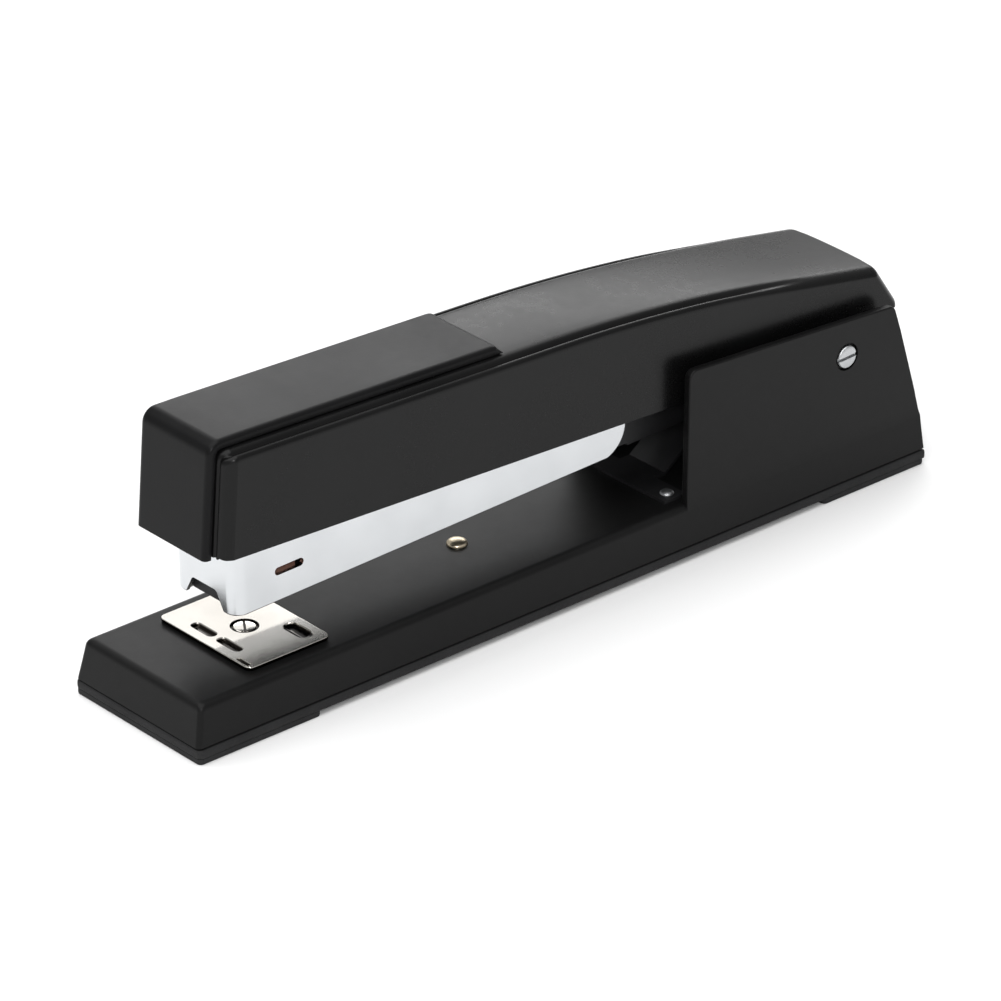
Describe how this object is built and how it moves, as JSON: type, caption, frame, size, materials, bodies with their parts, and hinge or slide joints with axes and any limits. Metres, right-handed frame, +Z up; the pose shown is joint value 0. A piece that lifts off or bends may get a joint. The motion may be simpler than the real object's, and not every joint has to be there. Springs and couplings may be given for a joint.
{
  "type": "desk stapler",
  "caption": "Full-strip desk stapler: pressed-steel handle over a sprung magazine, on a cheeked base with a turning anvil and a rubber pad.",
  "frame": {"origin": "on the surface it stands on, under the middle of the base", "axes": "+X runs back along the stapler from the nose to the hinge, +Z up, +Y across, parallel to the hinge pin"},
  "size_m": [0.198, 0.04, 0.0639],
  "materials": {
    "black_enamel": "satin black enamel on pressed steel",
    "black_enamel_cap": "satin black enamel, slightly lighter",
    "pad_rubber": "matt moulded rubber",
    "chrome": "bright plated steel",
    "nickel": "warm nickel plate",
    "zinc_steel": "bright zinc",
    "spring_steel": "tempered steel",
    "black_oxide": "black oxide",
    "stud_brass": "pale brass",
    "coppered_wire": "copper-washed steel wire",
    "black_plastic": "matt moulded plastic"
  },
  "bodies": {
    "base": {"base_shell": "black_enamel", "base_pad": "pad_rubber", "bumper_stud": "stud_brass", "lift_spring": "black_oxide", "lift_spring_rivets": "zinc_steel", "pivot_screw": "zinc_steel", "pivot_nut": "zinc_steel", "pivot_spacers": "zinc_steel", "anvil_spring": "spring_steel"},
    "anvil_button": {"anvil_button": "black_plastic"},
    "anvil": {"anvil_plate": "nickel", "anvil_post": "nickel", "anvil_clip": "spring_steel"},
    "magazine": {"magazine_shell": "chrome", "staple_track": "black_oxide", "staple_rail": "zinc_steel", "rail_stop": "black_oxide", "pusher_rod": "zinc_steel", "pusher_spring": "spring_steel", "staple_strip": "coppered_wire", "magazine_bracket": "black_oxide", "magazine_rivets": "zinc_steel", "magazine_bushes": "zinc_steel"},
    "pusher": {"pusher": "black_oxide"},
    "handle": {"handle_casing": "black_enamel", "handle_cap": "black_enamel_cap", "handle_bracket": "zinc_steel", "handle_rivets": "black_oxide", "handle_spring": "spring_steel", "driver_carrier": "zinc_steel", "driver_blade": "spring_steel", "driver_rivets": "zinc_steel"}
  },
  "joints": [
    {"name": "magazine_swing", "type": "hinge", "parent": "base", "child": "magazine", "pos_m": [0.0766, 0, 0.0321], "axis": [0, 1, 0], "range_deg": [-3.05, 115], "stiffness_Nm_per_rad": 25},
    {"name": "handle_swing", "type": "hinge", "parent": "magazine", "child": "handle", "pos_m": [0.0766, 0, 0.0321], "axis": [0, 1, 0], "range_deg": [-3.9, 60], "stiffness_Nm_per_rad": 30, "deforming": ["handle_spring"]},
    {"name": "pusher_slide", "type": "slide", "parent": "magazine", "child": "pusher", "axis": [0.9998, 0, 0.0192], "range_m": [0, 0.09], "stiffness_N_per_m": 40, "springref_m": -0.08, "deforming": ["pusher_spring"]},
    {"name": "anvil_lift", "type": "slide", "parent": "base", "child": "anvil_button", "axis": [0, 0, 1], "range_m": [0, 0.002], "stiffness_N_per_m": 600, "springref_m": -0.002, "deforming": ["anvil_spring"]},
    {"name": "anvil_turn", "type": "hinge", "parent": "anvil_button", "child": "anvil", "pos_m": [-0.0712, 0, 0.0126], "axis": [0, 0, 1], "range_deg": [0, 180]}
  ]
}
